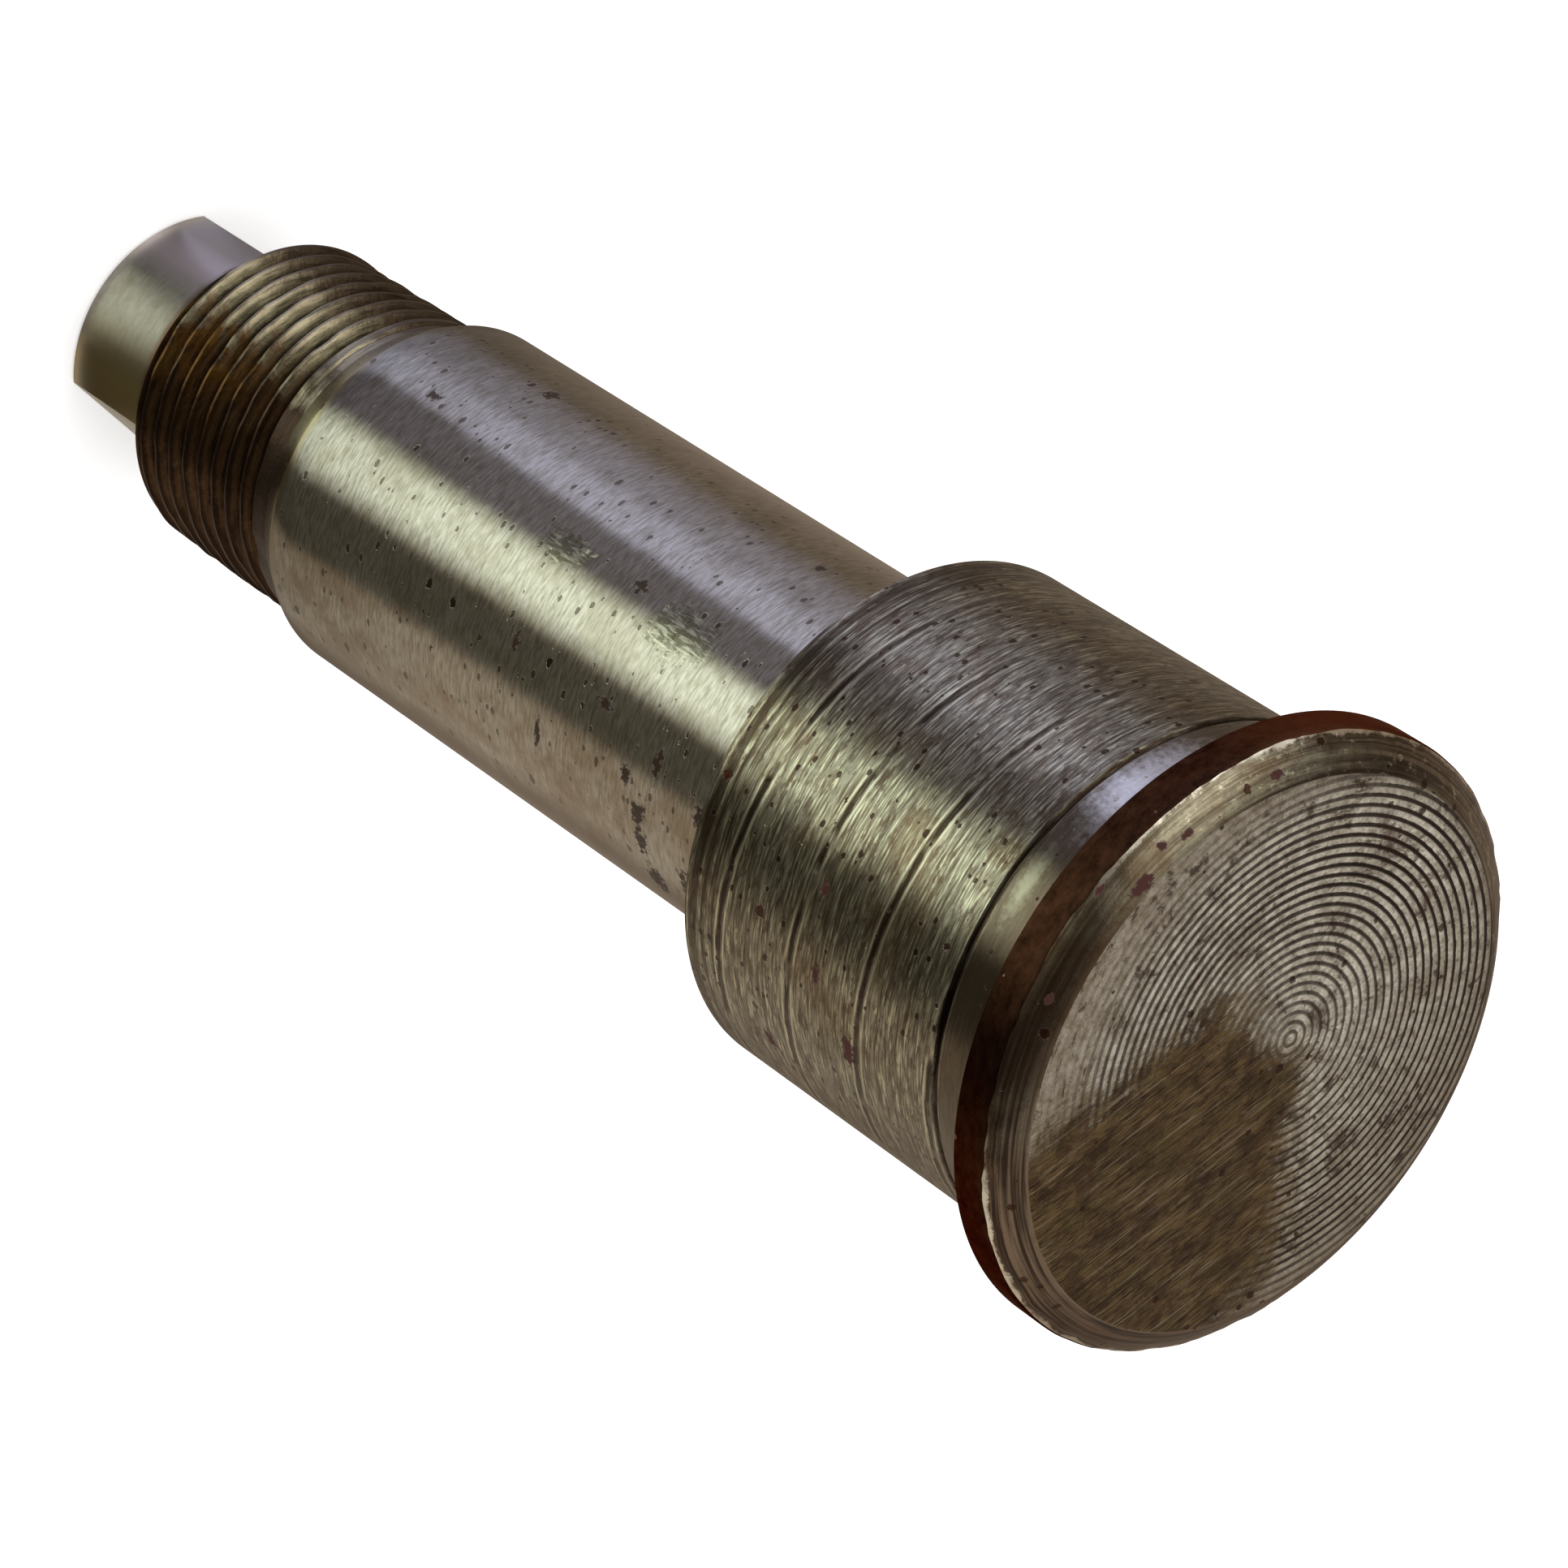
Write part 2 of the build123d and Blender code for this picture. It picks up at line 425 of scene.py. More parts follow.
def spots(tree, place, radius, marks, ragged=2.4, soft=0.2):
    """Single marks at a radius from the axis. Each has its angle, its level, its half length and half width."""
    angle, level = round_about(tree, place)
    uneven = grain(tree, place, (0.35, 0.35, 0.35), 3, 0.6)
    found = 0.0
    for at_angle, at_level, half_length, half_width in marks:
        per_degree = math.radians(radius) / half_width
        across = summed(tree, -at_angle * per_degree, (angle, per_degree))
        along = summed(tree, -at_level / half_length, (level, 1 / half_length))
        gap = add(tree, "CombineXYZ", {0: across, 1: along}).outputs[0]
        gap = add(tree, "VectorMath", {0: gap}, operation="LENGTH").outputs["Value"]
        gap = summed(tree, gap, (summed(tree, -0.5, (uneven, 1.0)), ragged))
        mark = product(tree, (gap, 0.9 + soft, 0.9 - soft))
        found = add(tree, "Math", {0: found, 1: mark}, operation="MAXIMUM").outputs[0]
    return found


# %% [markdown]
# Cut steel is a bare metal whose marks run one way, which draws its highlights out across them. Where it has
# rusted it is a metal no longer, and is rougher.

# %% Helper for the surface of cut steel
def steel(tree, surface, colour, rough, heights, spread, rougher=(), rust=None):
    """Joins the layers to a surface: rough is a pattern with the least and the greatest roughness, rougher and
    heights are patterns with what each adds (heights in millimetres), spread draws the highlights out."""
    surface.inputs["Metallic"].default_value = 1.0
    surface.inputs["Anisotropic"].default_value = spread
    surface.inputs["Anisotropic Rotation"].default_value = 0.25
    pattern, least, greatest = rough
    rough = add(tree, "MapRange", {"Value": pattern, "To Min": least, "To Max": greatest}).outputs[0]
    rough = summed(tree, rough, *rougher)
    if rust is not None:
        tree.links.new(summed(tree, 1.0, (rust, -0.9)), surface.inputs["Metallic"])
        rough = summed(tree, rough, (rust, 0.36))
    bump = add(tree, "Bump", {"Height": summed(tree, 0.0, *heights), "Distance": MM, "Strength": 1.0})
    tangent = add(tree, "Tangent", direction_type="RADIAL", axis="Z")
    tree.links.new(colour, surface.inputs["Base Color"])
    tree.links.new(rough, surface.inputs["Roughness"])
    tree.links.new(bump.outputs[0], surface.inputs["Normal"])
    tree.links.new(tangent.outputs[0], surface.inputs["Tangent"])
    print("finish of", len(tree.nodes), "nodes, its roughness from", least, "to", greatest)


# %% [markdown]
# The shank is ground: the finest marks run round it, and specks of rust and a few scuffs stand alone. Its
# right-hand side is browner and darker, partly stains and partly painted shade, and its lead-in cone has painted
# reflections.

# %% Ground shank and lead-in cone
tree, surface, place = start("ground_steel")
angle, level = round_about(tree, place, folded=True)
lines = grain(tree, place, (12, 12, 0.07), 3, 0.7)
mottle = grain(tree, place, (0.9, 0.9, 0.17), 3, 0.6, 0.1)
cloud = grain(tree, place, (3, 3, 4), 4, 0.6, 0.4)
waves = grain(tree, place, (5, 5, 14), 1, 0.4)
colour = lay(tree, "#736D62", "#969189", (mottle, 0.34, 0.62))
colour = lay(tree, colour, "#57503F", (lines, 0.52, 0.7), 0.3)
colour = lay(tree, colour, "#6A6252", (cloud, 0.5, 0.64), 0.35)
# Browner and darker towards the right-hand side, by angle: partly stains, partly painted shade. The band nearest
# the right-hand edge is painted shade.
colour = lay(tree, colour, "#66503A", (cloud, 0.4, 0.62), (angle, 22, 55), 0.65)
colour = lay(tree, colour, "#5A4930", (angle, 56, 76), 0.5)
low = product(tree, (level, SHANK_FOOT + 0.5, SHANK_FOOT - 0.2))
# Painted reflections on the lead-in cone: lighter overall, a yellowish band on the left and a brown one in front.
colour = lay(tree, colour, "#8A7F6C", low, 0.5)
colour = lay(tree, colour, "#8E8150", low, (angle, -34, -16), 0.8)
colour = lay(tree, colour, "#5E4426", low, (angle, -2, 14), 0.8)
flecks = specks(tree, place, 0.95, 0.55, 0.30, 1.6)
colour = lay(tree, colour, "#3A2C22", flecks, 0.75)
stains = specks(tree, place, 2.6, 0.32, 0.42, 1.4)
colour = lay(tree, colour, "#2E1C14", stains, 0.9)
RUST = [(-53.6, 35.9, 0.5, 0.6), (-28.3, 31.2, 0.55, 0.45), (-13.8, 54.0, 0.8, 0.35), (41.3, 51.3, 0.3, 0.8)]
RUST += [(26.5, 61.5, 0.35, 0.9), (20.0, 56.3, 0.8, 0.3), (44.0, 60.4, 0.6, 0.9), (53.2, 60.5, 0.5, 1.0)]
RUST += [(-51.5, 60.7, 0.4, 0.4), (19.7, 48.1, 0.3, 0.7), (35.4, 59.2, 0.4, 0.6), (-12.6, 49.6, 0.5, 0.3)]
RUST += [(60.0, 64.5, 0.9, 1.1), (48.0, 66.0, 0.4, 1.0), (33.0, 65.4, 0.4, 0.7), (67.0, 61.0, 0.8, 1.0)]
rust = spots(tree, place, SHANK_R, RUST, 3.2)
colour = lay(tree, colour, "#2A1808", rust)
SCUFFS = [(-11.2, 47.9, 2.0, 1.0), (-8.6, 58.6, 2.4, 1.5)]
scuffs = spots(tree, place, SHANK_R, SCUFFS)
scored = grain(tree, place, (0.22, 0.22, 1.1), 2, 0.6, 0.5)
scored = lay(tree, "#565442", "#B4B2A0", (scored, 0.48, 0.62))
colour = lay(tree, colour, scored, scuffs, 0.7)
pits = add(tree, "Math", {0: flecks, 1: stains}, operation="MAXIMUM").outputs[0]
steel(
    tree, surface, colour, rough=(mottle, 0.13, 0.22),
    heights=[(lines, 0.004), (waves, 0.020), (mottle, 0.0016), (pits, -0.012)], spread=0.9,
    rougher=[(scuffs, 0.16)], rust=rust,
)

# %% [markdown]
# The collar is plainly turned. A tool dragged back over it has left a fine left-handed line, and the band
# above the ring groove is smoother. On that band two highlights are painted, with painted shade between them.

# %% Turned collar
tree, surface, place = start("lathe_steel")
angle, level = round_about(tree, place, folded=True)
lines = grain(tree, place, (5, 5, 0.17), 3, 0.6)
glints = grain(tree, place, (1.5, 1.5, 0.13), 2, 0.6, 0.2)
mottle = grain(tree, place, (1.1, 1.1, 0.45), 4, 0.7, 0.2)
cloud = grain(tree, place, (4, 4, 5), 4, 0.6, 0.4)
smooth = product(tree, (level, RING_TOP - 0.1, RING_TOP + 0.2))
rings = summed(tree, 1.0, (smooth, -1.0))
colour = lay(tree, "#565044", "#7C776A", (lines, 0.36, 0.62))
colour = lay(tree, colour, "#B2AF98", (glints, 0.54, 0.66), rings, 0.75)
colour = lay(tree, colour, "#3C3024", (glints, 0.47, 0.36), 0.75)
colour = lay(tree, colour, "#43342A", (mottle, 0.52, 0.62), 0.7)
colour = lay(tree, colour, "#5A4630", (cloud, 0.48, 0.68), 0.45)
colour = lay(tree, colour, "#544A3F", smooth, 0.75)
DRAG_START, DRAG_LEAD = 73.4, 5.7           # the line's level on the viewer's side, and its fall in a turn
drag = summed(tree, -DRAG_START, (level, 1.0), (round_about(tree, place)[0], DRAG_LEAD / 360))
drag = add(tree, "Math", {0: drag, 1: DRAG_LEAD / 2}, operation="PINGPONG").outputs[0]
drag = summed(tree, drag, (glints, 0.1))
patchy = grain(tree, place, (3, 3, 3), 2, 0.5)
broken = product(tree, (patchy, 0.36, 0.5), (angle, -70, -20), rings)
lip = product(tree, (drag, 0.52, 0.42), (drag, 0.3, 0.36), broken)
colour = lay(tree, colour, "#C2BCA8", lip, 0.5)
drag = product(tree, (drag, 0.28, 0.16), broken)
colour = lay(tree, colour, "#261B12", drag, 0.9)
tracks = grain(tree, place, (60, 60, 0.32), 2, 0.5)
colour = lay(tree, colour, "#2E2318", (level, SHOULDER + 3.4, SHOULDER + 2.4), (tracks, 0.48, 0.58), 0.8)
flecks = specks(tree, place, 0.85, 0.50, 0.25, 1.3)
colour = lay(tree, colour, "#2C1A14", flecks, 0.9)
stains = specks(tree, place, 2.4, 0.30, 0.45)
colour = lay(tree, colour, "#3A1C16", stains, 0.85)
RUST = [(50.0, 83.3, 0.6, 0.9), (37.3, 80.6, 0.3, 0.5), (63.2, 76.1, 0.4, 0.6), (20.5, 79.8, 0.3, 0.6)]
rust = spots(tree, place, COLLAR_R, RUST, 3.0)
colour = lay(tree, colour, "#3C1006", rust)
# Two painted highlights on the smooth band: a bright lavender-white one on the left and a dim one in front.
BRIGHT_PAINTED_HIGHLIGHT = [(-33.0, 92.2, 1.5, 3.6)]
rubbed = spots(tree, place, COLLAR_R, BRIGHT_PAINTED_HIGHLIGHT, 1.6, 0.5)
colour = lay(tree, colour, "#B9B6B4", rubbed, smooth, summed(tree, 0.5, (mottle, 0.4)))
DIM_PAINTED_HIGHLIGHT = [(-3.0, 91.4, 0.5, 1.9)]
rubbed = spots(tree, place, COLLAR_R, DIM_PAINTED_HIGHLIGHT, 1.6, 0.5)
colour = lay(tree, colour, "#A8A692", rubbed, smooth, 0.45)
# Painted shade on the smooth band, between the two painted highlights.
colour = lay(tree, colour, "#33281E", smooth, (angle, -14, -4), 0.35)
from_ring = summed(tree, -(RING_LOW + RING_TOP) / 2, (level, 1.0))
from_ring = add(tree, "Math", {0: from_ring}, operation="ABSOLUTE").outputs[0]
colour = lay(tree, colour, "#24140E", (from_ring, 0.28, 0.15), 0.85)
pits = add(tree, "Math", {0: flecks, 1: stains}, operation="MAXIMUM").outputs[0]
steel(
    tree, surface, colour, rough=(mottle, 0.24, 0.40),
    heights=[(lines, 0.014), (glints, 0.010), (mottle, 0.006), (drag, -0.05), (pits, -0.03)], spread=0.85,
    rougher=[(smooth, -0.10)], rust=rust,
)

# %% [markdown]
# The chamfer was cut coarsely, so it is a stack of bright and brown rings. Bands round the front, the right
# and the far left are painted darker, as painted shade, and light flecks on the left are painted highlights. Its
# ragged edge is bare, and is painted light on two sides as a painted highlight.

# %% Chamfer of the face
tree, surface, place = start("bevelled_steel")
angle, level = round_about(tree, place, folded=True)
lines = grain(tree, place, (14, 14, 0.14), 3, 0.7)
mottle = grain(tree, place, (0.8, 0.8, 0.3), 5, 0.75, 0.2)
cloud = grain(tree, place, (3, 3, 2), 4, 0.6, 0.4)
colour = lay(tree, "#4E4438", "#968F7C", (lines, 0.36, 0.62))
colour = lay(tree, colour, "#50443A", (mottle, 0.5, 0.64), 0.6)
colour = lay(tree, colour, "#58432F", (cloud, 0.46, 0.64), 0.6)
# Painted shade in bands round the front, the right and the far left, and painted highlights as light flecks on the
# left.
brown = lay(tree, "#32231A", "#705A48", (lines, 0.42, 0.58))
colour = lay(tree, colour, brown, (angle, 26, 44), 0.85)
colour = lay(tree, colour, brown, (angle, -58, -76), 0.5)
colour = lay(tree, colour, "#493426", (angle, -14, 4), (angle, 40, 26), 0.75)
colour = lay(tree, colour, "#D2CCB4", (mottle, 0.42, 0.32), (angle, -18, -28), 0.7)
flecks = specks(tree, place, 1.1, 0.55, 0.32)
colour = lay(tree, colour, "#3A1F16", flecks, 0.85)
RUST = [(-12.8, 98.0, 0.20, 0.9), (-25.0, 97.85, 0.12, 0.4), (-20.1, 97.6, 0.12, 0.3), (-7.6, 97.1, 0.12, 0.4)]
RUST += [(-46.0, 97.8, 0.12, 0.4), (12.0, 97.6, 0.15, 0.3)]
rust = spots(tree, place, HEAD_R - 1, RUST)
colour = lay(tree, colour, "#380F06", rust)
# The ragged burr is painted light only on the two sides where it catches the light: a painted highlight on a real
# burr.
edge = summed(tree, level, (mottle, 0.6))
on_left, on_right = product(tree, (angle, -6, -16)), product(tree, (angle, 34, 50))
sides = add(tree, "Math", {0: on_left, 1: on_right}, operation="MAXIMUM").outputs[0]
colour = lay(tree, colour, "#DAD3C2", (edge, RIM_TOP + 0.42, RIM_TOP + 0.30), sides, 0.85)
steel(
    tree, surface, colour, rough=(lines, 0.24, 0.38), heights=[(lines, 0.014), (mottle, 0.02), (flecks, -0.04)],
    spread=0.7, rust=rust,
)

# %% [markdown]
# The dog point is plain milled and turned steel. Painted reflections and shade lie on it by angle: lighter
# and greyer on its left, darker just right of the front. Its marks are too fine to tell apart, so its highlights
# stay round.

# %% Dog point
tree, surface, place = start("milled_steel")
angle, level = round_about(tree, place, folded=True)
lines = grain(tree, place, (12, 12, 0.14), 3, 0.7)
mottle = grain(tree, place, (0.9, 0.9, 0.3), 3, 0.6, 0.2)
cloud = grain(tree, place, (2.5, 2.5, 2.5), 4, 0.6, 0.4)
colour = lay(tree, "#7C766C", "#8C867C", (mottle, 0.3, 0.66))
colour = lay(tree, colour, "#5A5348", (lines, 0.5, 0.7), 0.2)
colour = lay(tree, colour, "#5E5140", (cloud, 0.52, 0.7), 0.4)
# Painted reflections and shade: lighter mauve grey on the left, darker just right of the front, khaki beyond it.
colour = lay(tree, colour, "#B6AAA6", (angle, -15, -26), 0.95)
colour = lay(tree, colour, "#8B8075", (angle, -31, -42))
colour = lay(tree, colour, "#5A4D36", (angle, 2, 18), 0.85)
colour = lay(tree, colour, "#83704A", (angle, 19, 30))
oil_line = summed(tree, level, (mottle, 0.6))
colour = lay(tree, colour, "#5A3A26", (oil_line, THREAD_FOOT - 0.35, THREAD_FOOT + 0.05), 0.8)
steel(tree, surface, colour, rough=(mottle, 0.40, 0.48), heights=[(lines, 0.002)], spread=0.0)

# %% [markdown]
# The thread is full of old brown oil, darkest at its root. Its left-hand side is painted in light colours and the
# rest in dark ones, as painted light and shade, and a few chips of its crest are bare.

# %% Oiled thread
tree, surface, place = start("oiled_steel")
angle, level = round_about(tree, place, folded=True)
lines = grain(tree, place, (3, 3, 0.16), 4, 0.7)
cloud = grain(tree, place, (1.8, 1.8, 1.8), 4, 0.65, 0.4)
flat = add(tree, "VectorMath", {0: place, 1: (1, 1, 0)}, operation="MULTIPLY").outputs[0]
radius = add(tree, "VectorMath", {0: flat}, operation="LENGTH").outputs["Value"]
ragged = summed(tree, -0.25, (cloud, 0.5), (radius, 1.0))
root = product(tree, (ragged, THREAD_R - 0.55, THREAD_R - 0.75))
crest = product(tree, (ragged, THREAD_R - 0.42, THREAD_R - 0.22))
# Painted light and shade: light colours for the lit left-hand side, dark oil colours for the rest, with a ragged
# boundary.
lit_side_colours = lay(tree, "#6A6450", "#A0967F", crest)
lit_side_colours = lay(tree, lit_side_colours, "#1E180E", root, 0.8)
oil_in_painted_shade = lay(tree, "#5C4530", "#34241A", crest)
oil_in_painted_shade = lay(tree, oil_in_painted_shade, "#150D07", root, 0.7)
# Darker towards the right-hand edge: painted shade.
oil_in_painted_shade = lay(tree, oil_in_painted_shade, "#24180F", (angle, 46, 66), 0.5)
lit_side_edge = summed(tree, angle, (cloud, 50))
colour = lay(tree, lit_side_colours, oil_in_painted_shade, (lit_side_edge, 3, 21))
colour = lay(tree, colour, "#6A4A1C", (cloud, 0.46, 0.6), (angle, -26, -6), (angle, 30, 8), (level, 21, 14), 0.6)
# Darker on the far left: painted shade.
far_side = summed(tree, angle, (cloud, 20))
colour = lay(tree, colour, "#3C2A20", (far_side, -18, -42), 0.8)
colour = lay(tree, colour, "#1C130C", (lines, 0.5, 0.64), 0.6)
chips = specks(tree, place, 2.2, 0.16, 0.30)
colour = lay(tree, colour, "#E8E4DA", chips)
steel(tree, surface, colour, rough=(lines, 0.30, 0.48), heights=[(cloud, 0.08), (lines, 0.04)], spread=0.3)

# %% [markdown]
# The face keeps dirt in its grooves and shines on its ridges, and rust has pitted it along the rings. To the
# right of the centre it was scuffed in straight strokes, which dulled and darkened a wedge of it.

# %% Ringed face
tree, surface, place = start("faced_steel")
facing = add(tree, "Mapping", {"Vector": place, "Rotation": (0, 0, -math.radians(VIEWER))}).outputs[0]
split = add(tree, "SeparateXYZ", {"Vector": facing}).outputs
fine = grain(tree, place, (0.5, 0.5, 0.5), 4, 0.7)
cloud = grain(tree, place, (3, 3, 3), 4, 0.65, 0.5)
centre = (RING_CENTRE[0], RING_CENTRE[1], FACE)
from_centre = add(tree, "VectorMath", {0: place, 1: centre}, operation="DISTANCE").outputs["Value"]
wobbly = summed(tree, -0.05, (from_centre, 1.0), (fine, 0.10))
share = add(tree, "Math", {0: product(tree, wobbly, 1 / ring_pitch)}, operation="FRACT").outputs[0]
reach = summed(tree, from_centre, (product(tree, (split[1], -4, -13)), 1.4))
fade = product(tree, (summed(tree, reach, (cloud, 2.0)), 17.8, 14.6))
# The grooves are weakest at the edge, and a little weaker in front and near their centre.
at_edge = summed(tree, 0.2, (fade, 0.8))
in_front = summed(tree, 0.85, (product(tree, (split[1], -10, 1)), 0.15))
at_centre = summed(tree, 0.72, (product(tree, (from_centre, 2, 9)), 0.28))
groove = product(tree, (share, 0.46, 0.62), (share, 1.0, 0.93), at_edge, in_front, at_centre)
blots = grain(tree, place, (1.5, 1.5, 1.5), 4, 0.75, 0.4)
colour = lay(tree, "#968E80", "#DCD5C8", (fine, 0.36, 0.62))
colour = lay(tree, colour, "#7A6B58", (cloud, 0.5, 0.66), 0.5)
colour = lay(tree, colour, "#766752", (split[1], 2, 12), 0.5)
colour = lay(tree, colour, "#77644F", (reach, 13.0, 15.5), 0.5)
colour = lay(tree, colour, "#2A2018", groove)
colour = lay(tree, colour, "#35241A", (blots, 0.57, 0.65), 0.75)
spoke = add(tree, "VectorMath", {0: place, 1: centre}, operation="SUBTRACT").outputs[0]
spoke = add(tree, "SeparateXYZ", {"Vector": spoke}).outputs
bearing = add(tree, "Math", {0: spoke[1], 1: product(tree, spoke[0], -1.0)}, operation="ARCTAN2").outputs[0]
along_rings = add(tree, "CombineXYZ", {0: from_centre, 1: product(tree, bearing, 9.0)}).outputs[0]
pits = grain(tree, along_rings, (0.3, 1.1, 1), 3, 0.7)
colour = lay(tree, colour, "#3A2119", (pits, 0.56, 0.63), (cloud, 0.42, 0.56), 0.75)
PITTED = [(-7.4, -1.0, 1.6), (-12.4, -2.0, 1.7), (-11.4, 3.0, 1.3), (-3.2, 1.8, 0.9)]
for across, away, size in PITTED:
    gap = add(tree, "VectorMath", {0: facing, 1: (across, away, FACE)}, operation="DISTANCE").outputs["Value"]
    colour = lay(tree, colour, "#3E2419", (gap, size * 1.4, size * 0.5), (blots, 0.46, 0.56), 0.7)

STROKE_TURN = 29.4                          # degrees between the strokes and the line across the view
strokes = add(tree, "Mapping", {"Vector": facing, "Rotation": (0, 0, math.radians(STROKE_TURN))}).outputs[0]
hairs = grain(tree, strokes, (1.0, 0.08, 1.0), 4, 0.8)
scores = grain(tree, strokes, (4, 0.13, 4), 1, 0.5)
wedge = 100.0
for along_x, along_y, offset in WEDGE:
    inside = summed(tree, offset, (split[0], along_x), (split[1], along_y))
    wedge = add(tree, "Math", {0: wedge, 1: inside}, operation="MINIMUM").outputs[0]
wedge = summed(tree, -7.0, (wedge, 1.0), (cloud, 5.0), (hairs, 9.0))
wedge = product(tree, (wedge, -1.1, 1.1))
patches = grain(tree, strokes, (3.4, 1.3, 3), 3, 0.65, 0.4)
worn = lay(tree, "#1E130A", "#7C6444", (hairs, 0.38, 0.6))
worn = lay(tree, worn, "#2E1E14", (patches, 0.5, 0.66), 0.5)
worn = lay(tree, worn, "#72603A", (patches, 0.46, 0.34), 0.35)
worn = lay(tree, worn, "#524828", (cloud, 0.5, 0.62), 0.4)
worn = lay(tree, worn, "#35231A", (blots, 0.48, 0.6), 0.6)
worn = lay(tree, worn, "#1A1009", (scores, 0.4, 0.32), 0.6)
worn = lay(tree, worn, "#A69A86", (scores, 0.64, 0.72), 0.5)
colour = lay(tree, colour, worn, wedge)
flecks = specks(tree, place, 1.2, 0.40, 0.28)
colour = lay(tree, colour, "#33190F", flecks, 0.85)
stains = specks(tree, place, 3.0, 0.30, 0.6)
colour = lay(tree, colour, "#4A3020", stains, 0.6)
steel(
    tree, surface, colour, rough=(fine, 0.34, 0.50),
    heights=[(fine, 0.022), (product(tree, wedge, hairs), 0.03), (flecks, -0.03)], spread=0.3,
)

# %% [markdown]
# The rim was never machined. It keeps the dark red-brown scale of the rolled bar, with painted light on its left
# and painted shade in a band right of the front.

# %% Rolled rim
tree, surface, place = start("rolled_scale")
angle = round_about(tree, place, folded=True)[0]
fine = grain(tree, place, (1.0, 1.0, 0.6), 5, 0.75)
colour = lay(tree, "#20130D", "#3E281C", (fine, 0.34, 0.66))
# Painted light on the left-hand side, and painted shade in a band right of the front.
colour = lay(tree, colour, "#6E4630", (angle, -40, -60), 0.6)
colour = lay(tree, colour, "#0C0504", (angle, 8, 22), (angle, 44, 30), 0.7)
flecks = specks(tree, place, 1.2, 0.3, 0.2)
colour = lay(tree, colour, "#8A7A6C", flecks, 0.5)
steel(tree, surface, colour, rough=(fine, 0.42, 0.60), heights=[(fine, 0.04)], spread=0.0)
surface.inputs["Specular Tint"].default_value = linear("#C09A82")

# %% [markdown]
# The camera looks down on the head from in front, rolled over so that the pin lies across the picture. It
# stands a few degrees round towards the right, so that a sliver of the dog's right-hand flat shows.

# %% Camera
eye = bpy.data.cameras.new("eye")
eye.lens, eye.sensor_width, eye.clip_start = 135.1, 36, 0.01
STANDS_AT = (0, -0.2377, 0.2749)            # in metres, before it is led round to the viewer's side
camera = bpy.data.objects.new("camera", eye)
bpy.context.scene.collection.objects.link(camera)
right, up, back = (-0.5520, 0.5605, 0.6173), (-0.8338, -0.3652, -0.4139), (-0.0066, -0.7433, 0.6690)
aimed = Matrix((right, up, back)).transposed().to_4x4()
round_to = Matrix.Rotation(math.radians(VIEWER), 4, "Z")
camera.matrix_world = round_to @ Matrix.Translation(STANDS_AT) @ aimed
bpy.context.scene.camera = camera
print("camera with a lens of", round(eye.lens, 1), "mm")

# %% [markdown]
# The floor is white paper under one soft lamp and an even grey room. To the camera, and to anything that
# mirrors it, the paper glows a little as well, which makes a white page of it and keeps the pin's shadow.

# %% Floor, lamp and world
bpy.ops.object.select_all(action="DESELECT")
bpy.ops.mesh.primitive_plane_add(size=6)
floor = bpy.context.object
floor.name = "floor"
paper = bpy.data.materials.new("white_paper")
paper.use_nodes = True
tree = paper.node_tree
ray = add(tree, "LightPath").outputs
seen = add(tree, "Math", {0: ray["Is Glossy Ray"], 1: ray["Is Transmission Ray"]}, operation="MAXIMUM").outputs[0]
seen = add(tree, "Math", {0: ray["Is Camera Ray"], 1: seen}, operation="MAXIMUM").outputs[0]
sheet = tree.nodes["Principled BSDF"].inputs
sheet["Base Color"].default_value = (0.9, 0.9, 0.9, 1)
sheet["Roughness"].default_value = 0.9
sheet["Emission Color"].default_value = (1, 1, 1, 1)
tree.links.new(product(tree, seen, 0.4), sheet["Emission Strength"])
floor.data.materials.append(paper)

world = bpy.data.worlds.new("room")
bpy.context.scene.world = world
world.use_nodes = True
world.node_tree.nodes["Background"].inputs["Color"].default_value = (0.8, 0.8, 0.8, 1)

light = bpy.data.lights.new("overhead", "AREA")
light.shape, light.size, light.size_y = "RECTANGLE", 1.6, 1.6
light.energy = 0.9 * math.pi * light.size * light.size_y
overhead = bpy.data.objects.new("overhead", light)
bpy.context.scene.collection.objects.link(overhead)
overhead.location = (0, 0, 1.2)
overhead.visible_camera = overhead.visible_glossy = False
print("lamp of", round(light.energy, 2), "W")

# %% [markdown]
# Polished steel shows little but its surroundings, so those are made too. A dome stands over the pin, seen
# only in its polished faces. Low down it has a window, a strip of light paper and the dark edge of a bench,
# and overhead another window and the dark shape of whoever looks on.

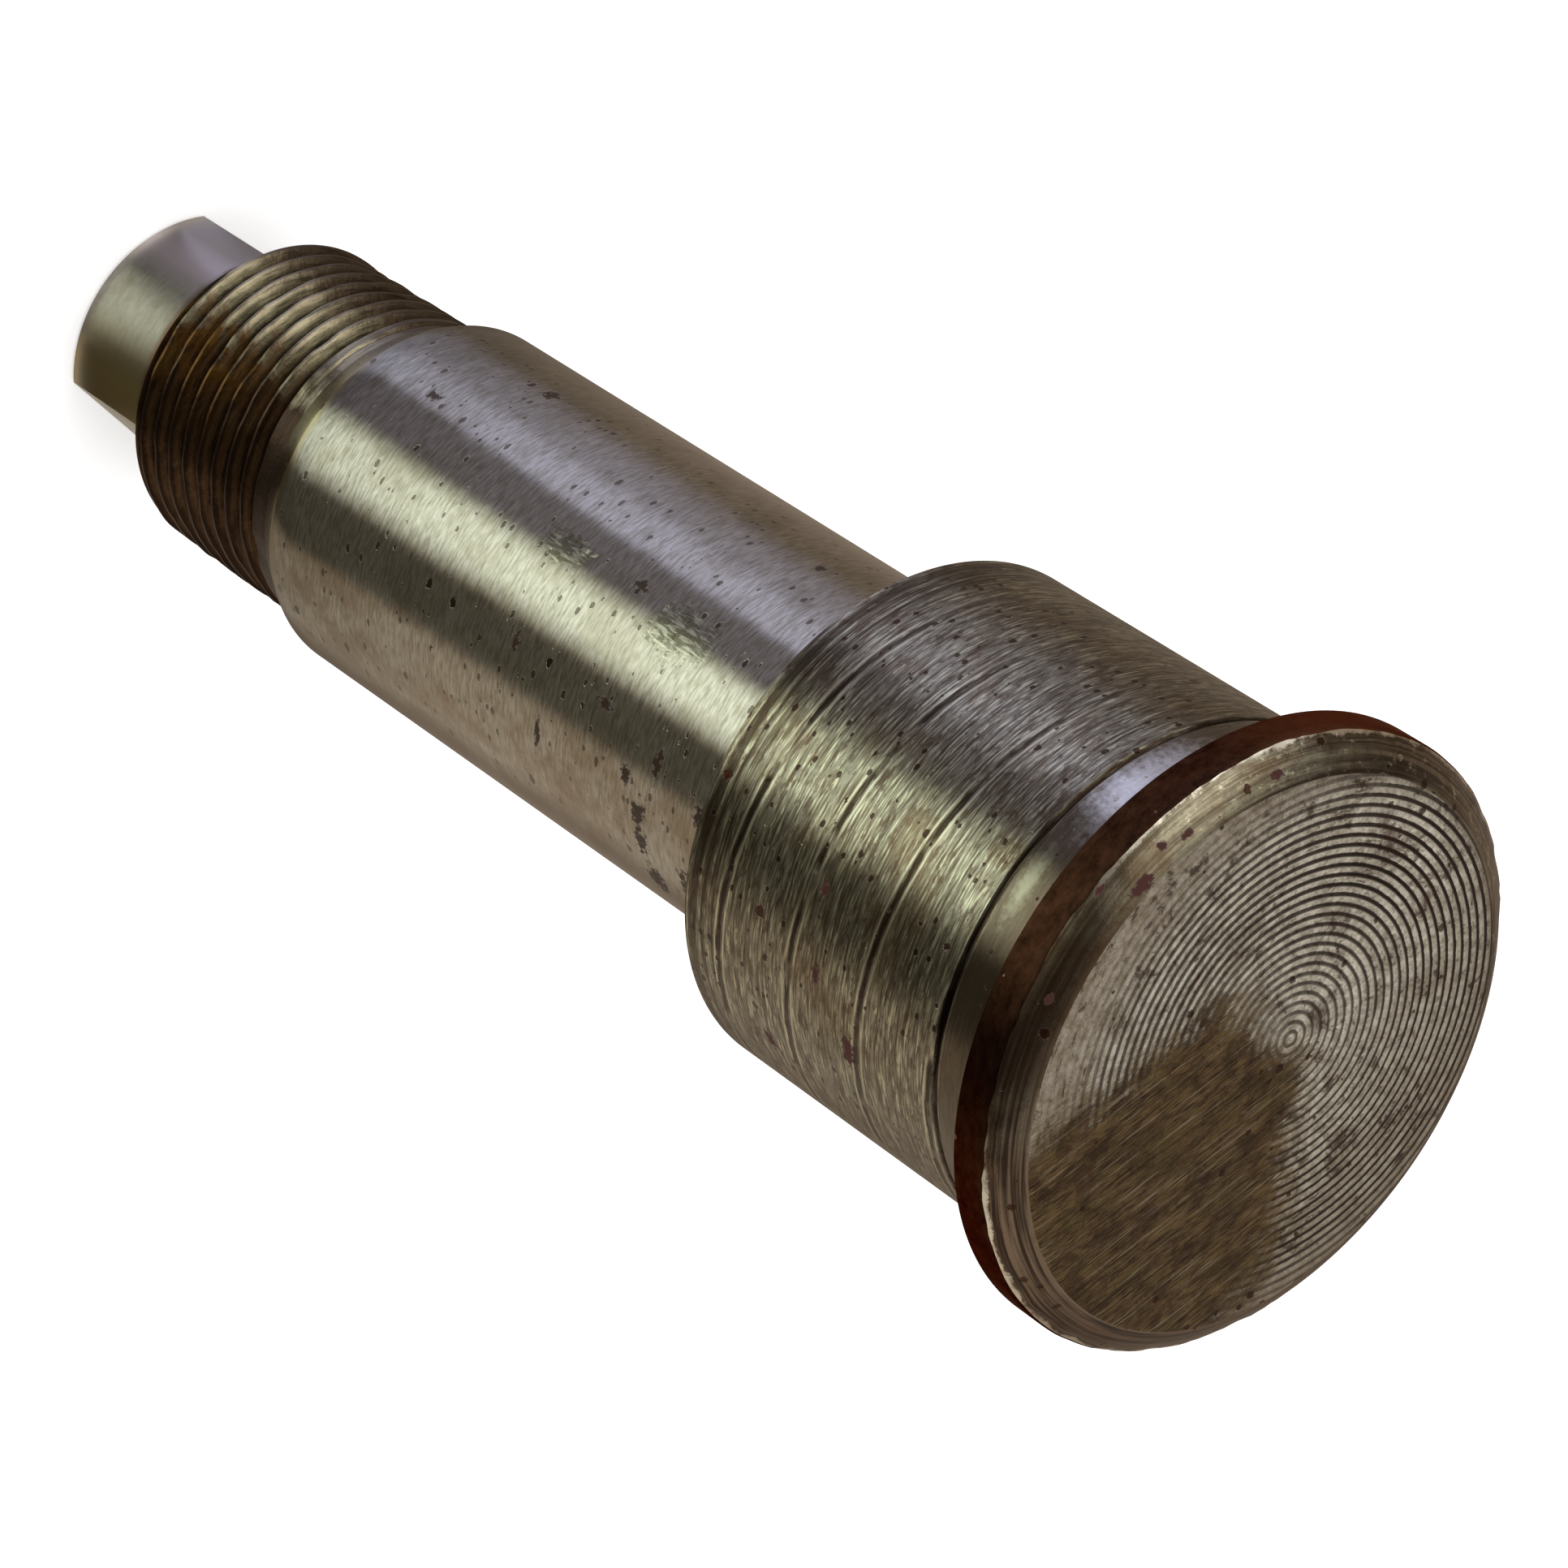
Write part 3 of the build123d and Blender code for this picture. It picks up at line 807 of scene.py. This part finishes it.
# %% Surroundings that only the steel mirrors
# Each band: where it starts and ends round the pin, how soft these two edges are (all in degrees), its strength
# and its tint. A later band covers an earlier one.
LOW_BANDS = [
    (-400, 400, 1, 1, 0.37, "#FFE6CC"),
    (-90, -60, 24, 4, 0.90, "#EBE9FF"),
    (-64, -42, 10, 1, 1.75, "#DDE1FF"),
    (-42, -14, 1, 6, 0.46, "#F6F0FF"),
    (-11, 19, 12, 14, 3.15, "#F3FFEF"),
    (26, 61, 4, 4, 0.22, "#FFFAE0"),
    (61, 122, 8, 20, 0.86, "#FFF0D8"),
]
HIGH_BANDS = [
    (-400, 400, 1, 1, 0.80, "#FFFCF6"),
    (-160, -100, 20, 16, 0.25, "#FFF4E8"),
    (-90, -44, 14, 12, 2.3, "#FFFDF0"),
    (-24, 88, 12, 20, 0.10, "#FFF4E8"),
]


def tones(tree, angle, bands):
    """The colour of the surroundings at each angle, a quarter as strong as written."""
    tone = None
    for first, last, soft_first, soft_last, strength, tint in bands:
        starts = (angle, first - soft_first / 2, first + soft_first / 2)
        ends = (angle, last + soft_last / 2, last - soft_last / 2)
        node = add(tree, "Mix", {"Factor": product(tree, starts, ends)}, data_type="RGBA")
        node.inputs[7].default_value = [c * strength / 4 for c in linear(tint)[:3]] + [1]
        if tone is not None:
            tree.links.new(tone, node.inputs[6])
        tone = node.outputs[2]
    return tone


DOME = [(8.8, 0.4), (400, 0.4), (400, 260), (330, 460), (150, 600), (0, 640)]  # radius and level in mm
dome = draw_chain("surroundings", [(0, -radius, level) for radius, level in DOME])
turn(dome, 96)
room = bpy.data.materials.new("surroundings")
tree, surface, place = start("surroundings")
tree.nodes.remove(surface)
angle, level = round_about(tree, place)
out = add(tree, "VectorMath", {0: place}, operation="LENGTH").outputs["Value"]
nearer = summed(tree, 0.6, (product(tree, (out, 28, 50)), 0.4))
low, high = tones(tree, angle, LOW_BANDS), tones(tree, angle, HIGH_BANDS)
low = add(tree, "VectorMath", {0: low, "Scale": nearer}, operation="SCALE").outputs[0]
tone = lay(tree, low, high, (level, 180, 280))
glow = add(tree, "Emission", {"Color": tone, "Strength": 4.0})
tree.links.new(glow.outputs[0], tree.nodes["Material Output"].inputs["Surface"])
dome.data.materials.append(room)
for ray in ("camera", "diffuse", "transmission", "volume_scatter", "shadow"):
    setattr(dome, "visible_" + ray, False)
print("dome of", len(dome.data.polygons), "faces,", len(LOW_BANDS), "low bands and", len(HIGH_BANDS), "high ones")

# %% [markdown]
# With the Standard view, colours come out as they are written. The pin is handed over last: it rides on the
# solid's root body, and the imported solid shoulder_pin is hidden.

# %% Hand the pin over
bpy.context.scene.view_settings.view_transform = "Standard"
alone(pin)
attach(pin, "root")
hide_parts("shoulder_pin")
